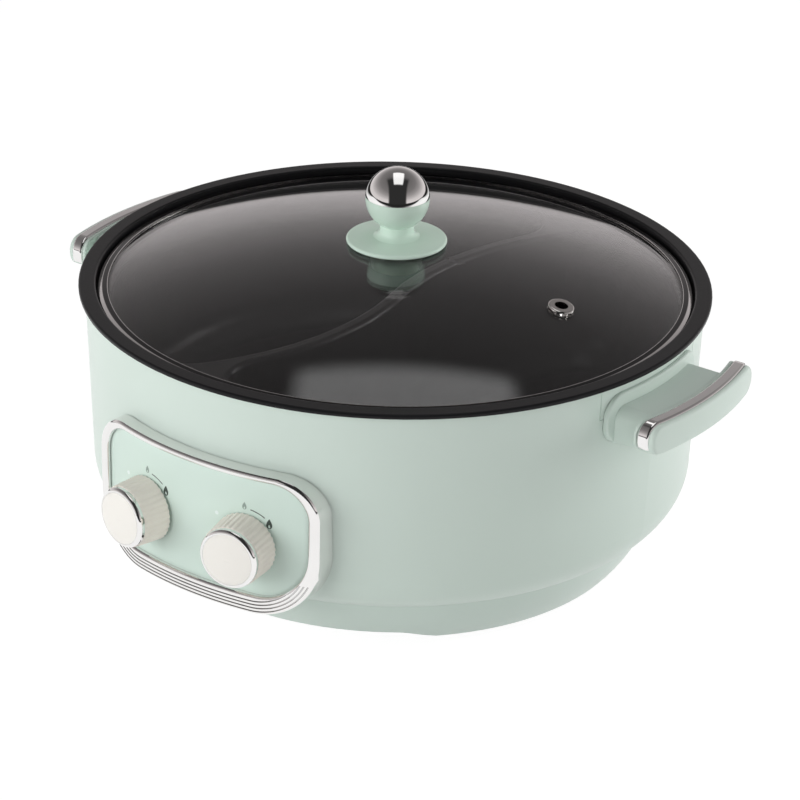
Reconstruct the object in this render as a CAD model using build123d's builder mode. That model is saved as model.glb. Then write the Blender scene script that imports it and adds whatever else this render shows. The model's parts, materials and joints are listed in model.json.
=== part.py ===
# Electric hot pot: a plastic housing on a lobed base, a split pan, a glass lid and two dials.
# Millimetres. +Z is up, the pot's axis is the Z axis, it stands on Z = 0 and its panel faces -Y.
from build123d import *
from math import asin, atan2, cos, degrees, hypot, pi, radians, sin, sqrt, tan
import os

os.makedirs("parts", exist_ok=True)

# Clearances
seat_gap = 0.3  # under what lifts off, and between curved faces that meet
face_gap = 0.1  # between nested faces of parts that are fixed together
shaft_gap = 0.08  # radial, round the dial shafts
screw_gap = 0.25  # radial, round a screw in its clearance hole

# Feet and base
foot_count = 4
foot_circle_radius = 106.0
foot_radius = 11.0
foot_height = 7.0
foot_stud_radius = 3.5
cover_thickness = 2.5
cover_radius = 127.0
slot_count = 24
slot_length = 26.0
slot_width = 4.0
slot_circle_radius = 74.0
skirt_bottom = 4.5
skirt_bottom_radius = 133.5
skirt_bulge = 1.9
skirt_wall = 3.0
flange_thickness = 2.5
flange_inner_radius = 112.0
arch_half_width = 92.0
arch_slope_width = 10.0
base_screw_count = 4
base_screw_circle_radius = 122.0
base_screw_radius = 2.0
base_screw_head_radius = 3.4
base_screw_head = 1.6
boss_radius = 4.5

# Housing
housing_floor = 29.6
housing_top = 147.8
housing_top_radius = 166.5
housing_draft = 0.031  # radius lost for each millimetre down the wall
housing_corner = 24.4
housing_wall = 2.6
housing_opening_radius = 112.0
ledge_top = 136.6
ledge_height = 2.4
window_half_width = 50.0
window_bottom = 42.0
window_top = 100.0

# Liner and heaters
liner_wall = 0.8
liner_flange_width = 4.0
liner_neck_radius = 159.3
liner_neck_height = 4.0
liner_cone_height = 5.0
liner_shoulder_radius = 155.6
liner_bottom_radius = 152.2
liner_corner = 22.0
heater_radius = 116.0
heater_thickness = 8.0
heater_split = 9.0
tube_radius = 3.3
tube_circle_radius = 66.0
post_radius = 4.0
sensor_radius = 9.0
thermostat_radius = 9.0
thermostat_height = 6.0
thermostat_circle_radius = 92.0
thermostat_angle = 34.0
tube_sweep = 78.0  # degrees each side of the heater's middle
post_angle = 68.0
post_setback = 24.0  # outside the tube's circle

# Pan
rim_radius = 170.0
rim_thickness = 2.6
rim_inner_radius = 160.9
rim_edge_fillet = 1.2
lid_ledge = 141.0
lid_ledge_inner_radius = 155.7
pan_wall = 2.8
pan_pocket_radius = 152.0
pan_floor = 62.0
pan_base_thickness = 3.0
pan_recess_wall = 2.1
pan_draft = 3.0  # degrees
pan_corner = 18.0
divider_top = 138.5
divider_thickness = 8.5
divider_bend = 170.0
divider_heading = 103.7  # degrees from +X at the centre
divider_flare = 28.0
divider_edge_fillet = 3.0

# Lid
lid_radius = 159.3
lid_rim_inner_radius = 154.5
lid_steel = 0.6
glass_thickness = 4.0
glass_rise = 25.9
vent_x = 104.0
vent_y = 2.2
vent_outer_radius = 7.0
vent_hole_radius = 3.6
vent_lip = 1.2
knob_flange_radius = 27.1
knob_flange_edge = 2.4
knob_neck_radius = 9.3
knob_neck_height = 7.9
knob_foot_radius = 11.5
knob_ball_radius = 17.2
knob_split_above_centre = 1.2
knob_spigot_depth = 4.0
knob_screw_radius = 2.5
knob_screw_bite = 14.0  # how far it enters the knob
knob_screw_head = 3.4
knob_seat_radius = 15.0
knob_seat_height = 13.0
knob_seat_recess = 6.0

# Control panel: its face is a cylinder with a vertical axis
panel_radius = 188.0
panel_front = 172.0
panel_half_width = 71.4
panel_top = 111.2
panel_bottom = 31.6
panel_top_corner = 22.0
panel_bottom_corner = 35.5
border_side = 6.1
border_top = 3.9
border_bottom = 10.7
bead_height = 2.0
bead_fillet = 1.8
plate_recess = 1.0
plate_thickness = 2.5
plate_lap = 2.0
trim_depth = 12.0
trim_inset = 0.4  # the panel's housing behind the trim is this much smaller
rib_count = 4
rib_width = 0.8
rib_start = 1.5
rib_pitch_width = 1.9
rib_depth = 0.8
rib_height = 22.0
panel_housing_wall = 4.5
board_width = 68.0
board_thickness = 1.6
board_height = 12.0
board_setback = 4.6

# Dials
dial_spacing_width = 64.4  # along the panel's face
dial_height = 69.6
dial_gap = 0.8
dial_skirt_radius = 17.5
dial_front_radius = 16.6
dial_skirt_length = 15.2
dial_flutes = 36
dial_flute_radius = 1.6
flute_offset = 1.2
dial_hollow_radius = 12.5
dial_ring_radius = 16.1
dial_ring_depth = 3.6
dial_ring_width = 2.1
dial_ring_fillet = 1.9
dial_cap_crown = 0.9
shaft_radius = 3.0
bush_radius = 4.6
bush_height = 3.2
pot_radius = 12.0
pot_depth = 12.0
nut_width = 12.0
nut_thickness = 2.2

# Handles
handle_plate_half_width = 42.0
handle_plate_bottom = 114.5
handle_plate_top = 142.8
handle_plate_outer_radius = 168.7
handle_plate_corner = 12.0
handle_plate_fillet = 1.2
web_half_width = 37.4
web_bottom = 116.5
web_top = 136.3
web_drop = 0.7
web_rise = 2.5
web_corner = 8.0
web_wall = 3.6
web_lap = 1.0  # how far the bridge runs into the grip
grip_half_width = 50.8
grip_setback = 3.0  # the grips sit this much behind the pot's middle
grip_reach = 17.0  # from the pan's rim to the grip's inner face
grip_thickness = 11.2
grip_crown = 0.9
grip_bottom = 120.0
grip_top = 137.6
grip_corner = 8.4
grip_front_fillet = 2.0
grip_back_fillet = 1.0
strip_setback = 2.2
strip_width = 6.9
strip_thickness = 2.6
strip_rise = 0.9
strip_fillet = 1.5
strip_end = 124.0
handle_screw_radius = 2.0
handle_screw_spacing = 54.0
handle_screw_bite = 1.9
relief_half_width = 44.5  # shallow joint line round each handle's plate
relief_bottom = 130.0
relief_width = 0.5
relief_depth = 0.5

# Power inlet
inlet_width = 46.0
inlet_height = 34.0
inlet_middle = 66.0
inlet_back = 190.0
inlet_start = 145.0
inlet_inner_end = 157.0
inlet_corner = 6.0
socket_width = 27.0
socket_height = 19.0
socket_depth = 15.0
pin_width = 4.0
pin_thickness = 2.0
pin_length = 11.0
pin_spacing = 8.0
pin_rise = 3.5

# Heights and radii that follow
cover_bottom = foot_height
cover_top = cover_bottom + cover_thickness
flange_top = cover_top + flange_thickness
housing_inner_floor = housing_floor + housing_wall
liner_floor = housing_inner_floor + seat_gap
pan_underside = pan_floor - pan_base_thickness
heater_top = pan_underside - seat_gap
heater_bottom = heater_top - heater_thickness
rim_underside = housing_top + seat_gap
rim_top = rim_underside + rim_thickness
panel_axis_y = panel_radius - panel_front
dial_angle = degrees(dial_spacing_width / 2 / panel_radius)
plate_face_radius = panel_radius - plate_recess
plate_back_radius = plate_face_radius - plate_thickness
grip_inner_radius = rim_radius + grip_reach
grip_outer_radius = grip_inner_radius + grip_thickness
strip_inner_radius = grip_inner_radius + strip_setback
strip_outer_radius = strip_inner_radius + strip_width
web_start_radius = handle_plate_outer_radius + face_gap
handle_screw_height = (web_bottom + web_top) / 2
handle_screw_end = web_start_radius + handle_screw_bite
cutter_height = 2 * housing_top  # tall enough to pass everything


def housing_radius(height):
    return housing_top_radius - housing_draft * (housing_top - height)


def save(part, name):
    part.label = name
    export_step(part, f"parts/{name}.step")


def turned(points, corner=None, corner_radius=0.0):
    """Solid of revolution about Z from a closed (radius, height) outline."""
    with BuildPart() as solid:
        with BuildSketch(Plane.XZ) as section:
            with BuildLine():
                Polyline(*points, close=True)
            make_face()
            if corner:
                fillet(section.vertices().sort_by_distance((*corner, 0))[0], corner_radius)
        revolve(axis=Axis.Z)
    return solid.part


def housing_envelope(offset, top=housing_top):
    """Everything inside the housing's outer wall, with that wall moved out by the offset."""
    low = housing_floor - offset
    corner = (housing_radius(low) + offset, low)
    outline = [(0, low), corner, (housing_radius(top) + offset, top), (0, top)]
    return turned(outline, corner, housing_corner + offset)


def rounded_outline(plane, half_width, bottom, top, bottom_corner, top_corner):
    """Upright rounded rectangle on a vertical plane, with its own radii below and above."""
    with BuildSketch(plane) as outline:
        with Locations((0, (bottom + top) / 2)):
            Rectangle(2 * half_width, top - bottom)
        fillet(outline.vertices().group_by(Axis.Y)[0], bottom_corner)
        fillet(outline.vertices().group_by(Axis.Y)[-1], top_corner)
    return outline.sketch


def upright_tube(axis_y, inner, outer, bottom=0.0, top=cutter_height):
    """Tall tube round a vertical line, used to give flat outlines their curved faces."""
    with BuildPart() as tube:
        with BuildSketch(Plane.XY.offset(bottom)):
            with Locations((0, axis_y)):
                Circle(outer)
                Circle(inner, mode=Mode.SUBTRACT)
        extrude(amount=top - bottom)
    return tube.part


# ---------------------------------------------------------------- base

skirt_top_radius = housing_radius(housing_floor) - housing_corner + sqrt(
    housing_corner**2 - (housing_corner - 1.4) ** 2
)
skirt_top = housing_floor + 1.4
base_inside = housing_envelope(seat_gap)


def skirt_arc(inset):
    """Bulging line from the crease under the housing to the skirt's bottom edge."""
    start = (skirt_top_radius - inset, skirt_top)
    end = (skirt_bottom_radius - inset, skirt_bottom)
    middle = ((start[0] + end[0]) / 2, (start[1] + end[1]) / 2)
    length = hypot(start[0] - end[0], start[1] - end[1])
    out = ((start[1] - end[1]) / length, -(start[0] - end[0]) / length)
    crown = (middle[0] + skirt_bulge * out[0], middle[1] + skirt_bulge * out[1])
    return start, crown, end


with BuildPart() as base_ring:
    outer_start, outer_crown, outer_end = skirt_arc(0)
    inner_start, inner_crown, inner_end = skirt_arc(skirt_wall)
    with BuildSketch(Plane.XZ):
        with BuildLine():
            ThreePointArc(outer_start, outer_crown, outer_end)
            Line(outer_end, inner_end)
            ThreePointArc(inner_end, inner_crown, inner_start)
            Line(inner_start, outer_start)
        make_face()
    revolve(axis=Axis.Z)
    add(
        turned(
            [
                (flange_inner_radius, cover_top),
                (skirt_bottom_radius + 1.0, cover_top),
                (skirt_bottom_radius + 1.0, flange_top),
                (flange_inner_radius, flange_top),
            ]
        )
    )
    add(
        turned(
            [
                (housing_opening_radius, housing_floor - flange_thickness),
                (skirt_top_radius - skirt_wall, housing_floor - flange_thickness),
                (skirt_top_radius - skirt_wall, housing_floor + flange_thickness),
                (housing_opening_radius, housing_floor + flange_thickness),
            ]
        )
    )
    add(base_inside, mode=Mode.SUBTRACT)
    with PolarLocations(base_screw_circle_radius, base_screw_count, start_angle=45):
        with Locations((0, 0, cover_top)):
            Cylinder(
                boss_radius,
                housing_floor - seat_gap - cover_top,
                align=(Align.CENTER, Align.CENTER, Align.MIN),
            )
            Cylinder(
                base_screw_radius + screw_gap,
                3 * boss_radius + housing_floor,
                align=(Align.CENTER, Align.CENTER, Align.CENTER),
                mode=Mode.SUBTRACT,
            )
    with BuildSketch(Plane.XZ) as arch:
        with BuildLine():
            Polyline(
                (-arch_half_width - arch_slope_width / 2, 0),
                (-arch_half_width - arch_slope_width / 2, skirt_bottom),
                (-arch_half_width + arch_slope_width / 2, cover_top),
                (arch_half_width - arch_slope_width / 2, cover_top),
                (arch_half_width + arch_slope_width / 2, skirt_bottom),
                (arch_half_width + arch_slope_width / 2, 0),
                close=True,
            )
        make_face()
        fillet(arch.vertices().group_by(Axis.Y)[-1], arch_slope_width)
    extrude(amount=rim_radius, both=True, mode=Mode.SUBTRACT)
save(base_ring.part, "base_ring")

with BuildPart() as base_cover:
    with BuildSketch(Plane.XY.offset(cover_bottom)):
        Circle(cover_radius)
        with PolarLocations(slot_circle_radius, slot_count):
            SlotOverall(slot_length, slot_width, mode=Mode.SUBTRACT)
        with PolarLocations(foot_circle_radius, foot_count, start_angle=45):
            Circle(foot_stud_radius + face_gap, mode=Mode.SUBTRACT)
        with PolarLocations(base_screw_circle_radius, base_screw_count, start_angle=45):
            Circle(base_screw_radius + screw_gap, mode=Mode.SUBTRACT)
    extrude(amount=cover_thickness)
save(base_cover.part, "base_cover")

with BuildPart() as rubber_feet:
    with BuildSketch(Plane.XZ) as foot_section:
        with BuildLine():
            Polyline(
                (0, 0),
                (foot_radius - 1, 0),
                (foot_radius, foot_height),
                (foot_stud_radius, foot_height),
                (foot_stud_radius, cover_top),
                (0, cover_top),
                close=True,
            )
        make_face()
    foot = revolve(axis=Axis.Z, mode=Mode.PRIVATE)
    with PolarLocations(foot_circle_radius, foot_count, start_angle=45):
        add(foot)
save(rubber_feet.part, "rubber_feet")

with BuildPart() as base_screws:
    with PolarLocations(base_screw_circle_radius, base_screw_count, start_angle=45):
        with Locations((0, 0, cover_bottom - base_screw_head)):
            Cylinder(
                base_screw_head_radius,
                base_screw_head,
                align=(Align.CENTER, Align.CENTER, Align.MIN),
            )
            Cylinder(
                base_screw_radius,
                base_screw_head + housing_floor - cover_bottom,
                align=(Align.CENTER, Align.CENTER, Align.MIN),
            )
save(base_screws.part, "base_screws")

# ---------------------------------------------------------------- housing


def handle_relief(side):
    """Thin line let into the wall round one handle's plate, open at the housing's top."""
    with BuildPart() as line:
        extrude(relief_outline(relief_half_width), amount=side * rim_radius)
        inside = extrude(
            relief_outline(relief_half_width - relief_width),
            amount=side * rim_radius,
            mode=Mode.PRIVATE,
        )
        add(inside, mode=Mode.SUBTRACT)
        add(upright_tube(0, liner_neck_radius, rim_radius), mode=Mode.INTERSECT)
        add(housing_envelope(-relief_depth, cutter_height), mode=Mode.SUBTRACT)
    return line.part


def relief_outline(half_width):
    bottom = relief_bottom + relief_half_width - half_width
    with BuildSketch(Plane.YZ) as outline:
        with Locations((0, (bottom + cutter_height) / 2)):
            Rectangle(2 * half_width, cutter_height - bottom)
    return outline.sketch


with BuildPart() as outer_housing:
    add(housing_envelope(0))
    inner_top = housing_top + housing_wall
    inner_corner = (housing_radius(housing_inner_floor) - housing_wall, housing_inner_floor)
    add(
        turned(
            [
                (0, housing_inner_floor),
                inner_corner,
                (housing_radius(inner_top) - housing_wall, inner_top),
                (0, inner_top),
            ],
            inner_corner,
            housing_corner - housing_wall,
        ),
        mode=Mode.SUBTRACT,
    )
    with BuildSketch(Plane.XY.offset(housing_floor - housing_wall)):
        Circle(housing_opening_radius)
    extrude(amount=3 * housing_wall, mode=Mode.SUBTRACT)
    with PolarLocations(base_screw_circle_radius, base_screw_count, start_angle=45):
        with Locations((0, 0, housing_floor)):
            Cylinder(base_screw_radius + face_gap, 3 * housing_wall, mode=Mode.SUBTRACT)
    ledge_inner_radius = liner_neck_radius + liner_wall + seat_gap
    ledge_outer_radius = housing_radius(ledge_top) - housing_wall / 2
    add(
        turned(
            [
                (ledge_inner_radius, ledge_top - ledge_height),
                (ledge_outer_radius, ledge_top - 2 * ledge_height),
                (ledge_outer_radius, ledge_top),
                (ledge_inner_radius, ledge_top),
            ]
        )
    )
    extrude(
        rounded_outline(Plane.XZ, window_half_width, window_bottom, window_top, 12, 12),
        amount=rim_radius,
        mode=Mode.SUBTRACT,
    )
    with BuildSketch(Plane.XZ):
        with Locations((0, inlet_middle)):
            RectangleRounded(socket_width, socket_height, 2)
    extrude(amount=-rim_radius, mode=Mode.SUBTRACT)
    for side in (-1, 1):
        for along in (-handle_screw_spacing / 2, handle_screw_spacing / 2):
            wall_x = housing_radius(handle_screw_height) - housing_wall
            with Locations((side * wall_x, along, handle_screw_height)):
                Cylinder(
                    handle_screw_radius + screw_gap,
                    6 * housing_wall,
                    rotation=(0, 90, 0),
                    mode=Mode.SUBTRACT,
                )
    top_edges = outer_housing.edges().filter_by(GeomType.CIRCLE).group_by(Axis.Z)[-1]
    fillet(top_edges, 0.8)
    for side in (-1, 1):
        add(handle_relief(side), mode=Mode.SUBTRACT)
save(outer_housing.part, "outer_housing")

liner_flange_bottom = ledge_top + face_gap
liner_neck_bottom = liner_flange_bottom - liner_neck_height
liner_shoulder = liner_neck_bottom - liner_cone_height


def liner_outline(inset):
    """Half outline of the cup, from its floor up to the underside of its flange."""
    return [
        (0, liner_floor + inset),
        (liner_bottom_radius - inset, liner_floor + inset),
        (liner_shoulder_radius - inset, liner_shoulder),
        (liner_neck_radius + liner_wall - inset, liner_neck_bottom),
        (liner_neck_radius + liner_wall - inset, liner_flange_bottom + liner_wall),
        (0, liner_flange_bottom + liner_wall),
    ]


with BuildPart() as inner_liner:
    outer_points = liner_outline(0)
    inner_points = liner_outline(liner_wall)
    add(turned(outer_points, outer_points[1], liner_corner))
    add(
        turned(inner_points, inner_points[1], liner_corner - liner_wall),
        mode=Mode.SUBTRACT,
    )
    with BuildSketch(Plane.XY.offset(liner_flange_bottom)):
        Circle(liner_neck_radius + liner_flange_width)
        Circle(liner_neck_radius, mode=Mode.SUBTRACT)
    extrude(amount=liner_wall)
save(inner_liner.part, "inner_liner")

# ---------------------------------------------------------------- pan

pan_foot_radius = pan_pocket_radius + pan_wall - (divider_top - pan_underside) * tan(radians(pan_draft))
pan_neck_radius = lid_ledge_inner_radius + pan_wall
pan_shoulder = lid_ledge - pan_wall
pan_recess_radius = rim_inner_radius + pan_recess_wall


def divider_outline(plane, width):
    """Two joined arcs of one thickness that sweep across the pan in an S."""
    turn = asin(rim_radius / 2 / divider_bend) * 2 + 0.1
    facing = radians(divider_heading - 90)
    centre = (divider_bend * cos(facing), divider_bend * sin(facing))

    def on_arc(side, radius, angle):
        start = facing + pi
        x = centre[0] + radius * cos(start - angle)
        y = centre[1] + radius * sin(start - angle)
        return side * x, side * y

    near = divider_bend - width / 2
    far = divider_bend + width / 2
    with BuildSketch(plane) as band:
        with BuildLine():
            ThreePointArc(*(on_arc(1, near, part * turn) for part in (0, 0.5, 1)))
            Line(on_arc(1, near, turn), on_arc(1, far, turn))
            ThreePointArc(*(on_arc(1, far, part * turn) for part in (1, 0.5, 0)))
            ThreePointArc(*(on_arc(-1, near, part * turn) for part in (0, 0.5, 1)))
            Line(on_arc(-1, near, turn), on_arc(-1, far, turn))
            ThreePointArc(*(on_arc(-1, far, part * turn) for part in (1, 0.5, 0)))
        make_face()
    return band.sketch


with BuildPart() as pan_pockets:
    with BuildSketch(Plane.XY.offset(divider_top)) as pocket_outline:
        Circle(pan_pocket_radius)
        add(divider_outline(Plane.XY, divider_thickness), mode=Mode.SUBTRACT)
        wall_corners = [
            v for v in pocket_outline.vertices() if hypot(v.X, v.Y) > pan_pocket_radius - 1
        ]
        fillet(wall_corners, divider_flare)
    extrude(amount=-(divider_top - pan_floor), taper=pan_draft)
    fillet(pan_pockets.faces().sort_by(Axis.Z)[:2].edges(), pan_corner)

with BuildPart() as pan:
    pan_corner_point = (pan_foot_radius, pan_underside)
    add(
        turned(
            [
                (0, pan_underside),
                pan_corner_point,
                (pan_pocket_radius + pan_wall, pan_shoulder - 2 * pan_wall),
                (pan_neck_radius, pan_shoulder - pan_wall),
                (pan_neck_radius, pan_shoulder),
                (pan_recess_radius, pan_shoulder),
                (pan_recess_radius, rim_underside),
                (rim_radius, rim_underside),
                (rim_radius, rim_top),
                (0, rim_top),
            ],
            pan_corner_point,
            pan_corner + pan_wall,
        )
    )
    with BuildSketch(Plane.XY.offset(divider_top)) as opening:
        Circle(lid_ledge_inner_radius)
    extrude(amount=rim_top - divider_top, mode=Mode.SUBTRACT)
    with BuildSketch(Plane.XY.offset(lid_ledge)) as recess:
        Circle(rim_inner_radius)
    extrude(amount=rim_top - lid_ledge, mode=Mode.SUBTRACT)
    rim_edges = pan.edges().filter_by(GeomType.CIRCLE).group_by(Axis.Z)[-1]
    fillet(rim_edges, rim_edge_fillet)
    fillet(pan.edges().filter_by(GeomType.CIRCLE).sort_by(SortBy.RADIUS)[-1], rim_edge_fillet / 2)
    add(pan_pockets.part, mode=Mode.SUBTRACT)
    divider_edges = [
        e
        for e in pan.edges()
        if abs(e.center().Z - divider_top) < 0.01
        and hypot((e @ 0).X, (e @ 0).Y) < pan_pocket_radius + 1
    ]
    fillet(divider_edges, divider_edge_fillet)
save(pan.part, "pan")

# ---------------------------------------------------------------- heaters under the pan


def half_disc(plane, radius, side):
    """One side of a disc that the divider's line splits, with its corners rounded."""
    with BuildSketch(plane) as half:
        Circle(radius)
        add(divider_outline(Plane.XY, heater_split), mode=Mode.SUBTRACT)
        far_half = half.faces().sort_by(Axis.X)[0 if side > 0 else -1]
        add(far_half, mode=Mode.SUBTRACT)
        fillet([v for v in half.vertices() if hypot(v.X, v.Y) > radius - 1], 12)
    return half.sketch


def heater_place(side, angle, radius=tube_circle_radius):
    """A point under one heater, turned from the middle of its half."""
    turn = radians(divider_heading - 90 + angle)
    return side * radius * cos(turn), side * radius * sin(turn)


def heating_tube(side, radius):
    """Bent tube cast into the underside of one heater."""
    start = heater_place(side, -tube_sweep)
    middle = heater_place(side, 0)
    end = heater_place(side, tube_sweep)
    with BuildPart() as tube:
        with BuildLine(Plane.XY.offset(heater_bottom)) as path:
            ThreePointArc(start, middle, end)
        with BuildSketch(Plane(path.line @ 0, z_dir=path.line % 0)):
            Circle(radius)
        sweep()
    return tube.part


for side, name in ((1, "heater_plate_right"), (-1, "heater_plate_left")):
    with BuildPart() as heater:
        extrude(half_disc(Plane.XY.offset(heater_bottom), heater_radius, side), amount=heater_thickness)
        chamfer(heater.faces().sort_by(Axis.Z)[-1].edges(), 1)
        add(heating_tube(side, tube_radius + seat_gap), mode=Mode.SUBTRACT)
        with Locations((*heater_place(side, 0, tube_circle_radius / 2), heater_top)):
            Hole(sensor_radius + seat_gap)
    save(heater.part, name)

with BuildPart() as heating_tubes:
    for side in (-1, 1):
        add(heating_tube(side, tube_radius))
save(heating_tubes.part, "heating_tubes")

with BuildPart() as heater_posts:
    liner_inside = liner_floor + liner_wall
    for side in (-1, 1):
        for angle in (-post_angle, 0, post_angle):
            place = heater_place(side, angle, tube_circle_radius + post_setback)
            with Locations((*place, liner_inside)):
                Cylinder(
                    post_radius,
                    heater_bottom - liner_inside,
                    align=(Align.CENTER, Align.CENTER, Align.MIN),
                )
save(heater_posts.part, "heater_posts")

with BuildPart() as pan_sensors:
    for side in (-1, 1):
        with Locations((*heater_place(side, 0, tube_circle_radius / 2), liner_inside)):
            Cylinder(
                sensor_radius,
                heater_top - liner_inside - seat_gap,
                align=(Align.CENTER, Align.CENTER, Align.MIN),
            )
    fillet(pan_sensors.faces().filter_by(Axis.Z).group_by(Axis.Z)[-1].edges(), 1)
save(pan_sensors.part, "pan_sensors")

# ---------------------------------------------------------------- lid

lid_bottom = lid_ledge + seat_gap
glass_edge_bottom = lid_bottom + lid_steel
glass_radius = lid_radius - lid_steel - face_gap
dome_radius = (glass_radius**2 + glass_rise**2) / (2 * glass_rise)
dome_centre = glass_edge_bottom + glass_rise - dome_radius


def dome_height(radius, lift=0.0):
    """Height of the glass's inner face, or of a face parallel to it, at a distance from the axis."""
    return dome_centre + sqrt((dome_radius + lift) ** 2 - radius**2)


vent_distance = hypot(vent_x, vent_y)
vent_tilt = vent_distance / (dome_radius + glass_thickness / 2)
vent_plane = Plane(
    origin=(vent_x, vent_y, dome_height(vent_distance, glass_thickness / 2)),
    z_dir=(
        vent_x / vent_distance * vent_tilt,
        vent_y / vent_distance * vent_tilt,
        sqrt(1 - vent_tilt**2),
    ),
)

with BuildPart() as lid_glass:
    with BuildSketch(Plane.XZ):
        with BuildLine():
            half = glass_radius / 2
            ThreePointArc(
                (0, dome_height(0)), (half, dome_height(half)), (glass_radius, dome_height(glass_radius))
            )
            edge = Line(
                (glass_radius, dome_height(glass_radius)),
                (glass_radius, dome_height(glass_radius, glass_thickness)),
            )
            ThreePointArc(
                edge @ 1,
                (half, dome_height(half, glass_thickness)),
                (0, dome_height(0, glass_thickness)),
            )
            Line((0, dome_height(0, glass_thickness)), (0, dome_height(0)))
        make_face()
    revolve(axis=Axis.Z)
    with Locations((0, 0, dome_centre + dome_radius)):
        Cylinder(knob_screw_radius + 2 * screw_gap, 6 * glass_thickness, mode=Mode.SUBTRACT)
    with BuildSketch(vent_plane):
        Circle(vent_hole_radius + vent_lip + face_gap)
    extrude(amount=3 * glass_thickness, both=True, mode=Mode.SUBTRACT)
save(lid_glass.part, "lid_glass")

with BuildPart() as lid_rim:
    with BuildSketch(Plane.XZ) as rim_section:
        rim_top_face = dome_height(lid_rim_inner_radius, glass_thickness) + face_gap
        with BuildLine():
            Polyline(
                (lid_rim_inner_radius + 1.5, lid_bottom),
                (lid_radius, lid_bottom),
                (lid_radius, rim_top_face + lid_steel - 1.0),
                (lid_radius - 1.6, rim_top_face + lid_steel - 0.4),
                (lid_rim_inner_radius, rim_top_face + lid_steel),
                (lid_rim_inner_radius, rim_top_face),
                (lid_radius - lid_steel, rim_top_face - 1.0),
                (lid_radius - lid_steel, lid_bottom + lid_steel - 0.05),
                (lid_rim_inner_radius + 1.5, lid_bottom + lid_steel - 0.05),
                close=True,
            )
        make_face()
    revolve(axis=Axis.Z)
save(lid_rim.part, "lid_rim")

flange_seat = dome_height(0, glass_thickness) + face_gap
flange_edge_bottom = dome_height(knob_flange_radius, glass_thickness) + face_gap
flange_top_edge = flange_edge_bottom + knob_flange_edge
ball_bottom_join = flange_top_edge + knob_neck_height
knob_ball_height = ball_bottom_join + sqrt(knob_ball_radius**2 - knob_neck_radius**2)
knob_split = knob_ball_height + knob_split_above_centre

with BuildPart() as knob_base:
    with BuildSketch(Plane.XZ) as knob_section:
        with BuildLine():
            split_radius = sqrt(knob_ball_radius**2 - knob_split_above_centre**2)
            Line((0, flange_seat), (0, knob_split))
            Line((0, knob_split), (split_radius, knob_split))
            ThreePointArc(
                (split_radius, knob_split),
                (
                    knob_ball_radius * cos(radians(-30)),
                    knob_ball_height + knob_ball_radius * sin(radians(-30)),
                ),
                (knob_neck_radius, ball_bottom_join),
            )
            Spline(
                (knob_neck_radius, ball_bottom_join),
                (knob_neck_radius + 0.15, flange_top_edge + 0.4 * knob_neck_height),
                (knob_foot_radius + 1.0, flange_top_edge + 1.0),
                tangents=((0, -1), (1, -0.35)),
            )
            Line((knob_foot_radius + 1.0, flange_top_edge + 1.0), (knob_flange_radius - 1.2, flange_top_edge))
            ThreePointArc(
                (knob_flange_radius - 1.2, flange_top_edge),
                (knob_flange_radius, flange_top_edge - knob_flange_edge / 2),
                (knob_flange_radius - 1.2, flange_edge_bottom),
            )
            Line((knob_flange_radius - 1.2, flange_edge_bottom), (knob_flange_radius * 0.75, flange_seat))
            Line((knob_flange_radius * 0.75, flange_seat), (0, flange_seat))
        make_face()
    revolve(axis=Axis.Z)
    with Locations((0, 0, knob_split)):
        Hole(knob_ball_radius / 2, knob_spigot_depth)
    with Locations((0, 0, flange_seat)):
        Cylinder(
            knob_screw_radius + face_gap,
            2 * (knob_screw_bite + knob_screw_head),
            mode=Mode.SUBTRACT,
        )
save(knob_base.part, "knob_base")

with BuildPart() as knob_cap:
    with Locations((0, 0, knob_ball_height)):
        Sphere(knob_ball_radius)
    with Locations((0, 0, knob_split + face_gap)):
        Cylinder(
            2 * knob_ball_radius,
            4 * knob_ball_radius,
            align=(Align.CENTER, Align.CENTER, Align.MAX),
            mode=Mode.SUBTRACT,
        )
        Cylinder(
            knob_ball_radius / 2 - face_gap,
            knob_spigot_depth - seat_gap,
            align=(Align.CENTER, Align.CENTER, Align.MAX),
        )
save(knob_cap.part, "knob_cap")

seat_top = dome_height(knob_seat_radius) - face_gap
seat_bottom = seat_top - knob_seat_height

with BuildPart() as knob_seat:
    with BuildSketch(Plane.XZ):
        with BuildLine():
            Polyline(
                (0, seat_top),
                (knob_seat_radius, seat_top),
                (knob_seat_radius, seat_top - 3),
                (knob_seat_radius - 2, seat_bottom),
                (knob_seat_radius - 5, seat_bottom),
                (knob_seat_radius - 5, seat_bottom + knob_seat_recess),
                (0, seat_bottom + knob_seat_recess),
                close=True,
            )
        make_face()
    revolve(axis=Axis.Z)
    with Locations((0, 0, seat_top)):
        Cylinder(knob_screw_radius + screw_gap, 2 * knob_seat_height, mode=Mode.SUBTRACT)
save(knob_seat.part, "knob_seat")

with BuildPart() as knob_screw:
    with Locations((0, 0, seat_bottom + knob_seat_recess)):
        Cylinder(
            2 * knob_screw_radius - face_gap,
            knob_screw_head,
            align=(Align.CENTER, Align.CENTER, Align.MAX),
        )
        Cylinder(
            knob_screw_radius,
            flange_seat + knob_screw_bite - seat_bottom - knob_seat_recess,
            align=(Align.CENTER, Align.CENTER, Align.MIN),
        )
save(knob_screw.part, "knob_screw")

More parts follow.
